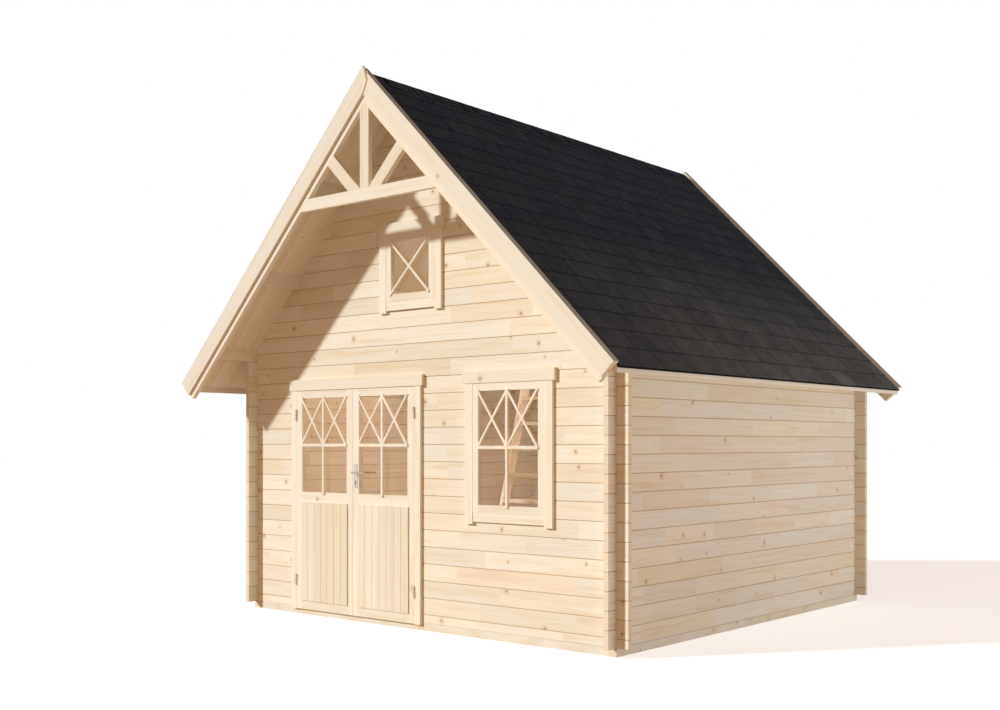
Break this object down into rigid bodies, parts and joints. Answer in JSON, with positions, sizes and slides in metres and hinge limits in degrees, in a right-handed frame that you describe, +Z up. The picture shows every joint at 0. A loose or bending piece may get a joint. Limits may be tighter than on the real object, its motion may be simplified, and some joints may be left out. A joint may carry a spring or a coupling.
{
  "type": "garden house",
  "caption": "Log garden house with a steep gabled roof, an open gable truss, a half-glazed double door, small windows, a loft and a ladder.",
  "frame": {"origin": "on the ground, under the middle of the whole house with its roof overhangs", "axes": "+X to the right across the front, +Y from the front to the back, +Z up"},
  "size_m": [4.612, 4.652, 4.3188],
  "materials": {
    "logs": "planed untreated spruce",
    "joinery": "planed untreated spruce",
    "timber": "planed untreated spruce",
    "boards": "planed tongue and groove boards",
    "roofing": "grit-coated bitumen shingles",
    "glass": "clear",
    "hinge_steel": "zinc-plated",
    "furniture": "satin"
  },
  "bodies": {
    "house": {"floor_bearers": "timber", "floor_boards": "boards", "side_wall_left": "logs", "side_wall_right": "logs", "wall_plates": "timber", "back_wall": "logs", "front_wall_left": "logs", "front_wall_right": "logs", "front_wall_pier": "logs", "front_wall_end": "logs", "front_gable": "logs", "purlins": "timber", "ridge_purlin": "timber", "roof_boards_left": "boards", "roof_boards_right": "boards", "roofing_left": "roofing", "roofing_right": "roofing", "ridge_cap": "roofing", "bargeboard_front_left": "joinery", "bargeboard_front_right": "joinery", "bargeboards_rear": "joinery", "verge_rafters_front": "joinery", "verge_rafters_rear": "joinery", "tie_beam": "joinery", "king_post": "joinery", "struts": "joinery", "eave_boards": "joinery", "loft_joists": "timber", "loft_boards": "boards", "ladder": "timber", "door_frame": "joinery", "door_casing": "joinery", "hinge_pins": "hinge_steel", "window_frame": "joinery", "window_sash": "joinery", "window_pane": "glass", "gable_window_frame": "joinery", "gable_window_sash": "joinery", "gable_window_pane": "glass"},
    "leaf_left": {"door_leaf_left": "joinery", "door_pane_left": "glass", "hinge_knuckles_left": "hinge_steel"},
    "leaf_right": {"door_leaf_right": "joinery", "door_pane_right": "glass", "hinge_knuckles_right": "hinge_steel", "lock_plates": "furniture"},
    "lever": {"door_lever": "furniture"}
  },
  "joints": [
    {"name": "left_door_swing", "type": "hinge", "parent": "house", "child": "leaf_left", "pos_m": [-1.359, -1.8273, 1], "axis": [0, 0, -1], "range_deg": [0, 165]},
    {"name": "right_door_swing", "type": "hinge", "parent": "house", "child": "leaf_right", "pos_m": [0.053, -1.8273, 1], "axis": [0, 0, 1], "range_deg": [0, 165]},
    {"name": "lever_turn", "type": "hinge", "parent": "leaf_right", "child": "lever", "pos_m": [-0.6145, -1.8203, 1.226], "axis": [0, 1, 0], "range_deg": [0, 40], "stiffness_Nm_per_rad": 1, "springref_deg": -34.38}
  ]
}
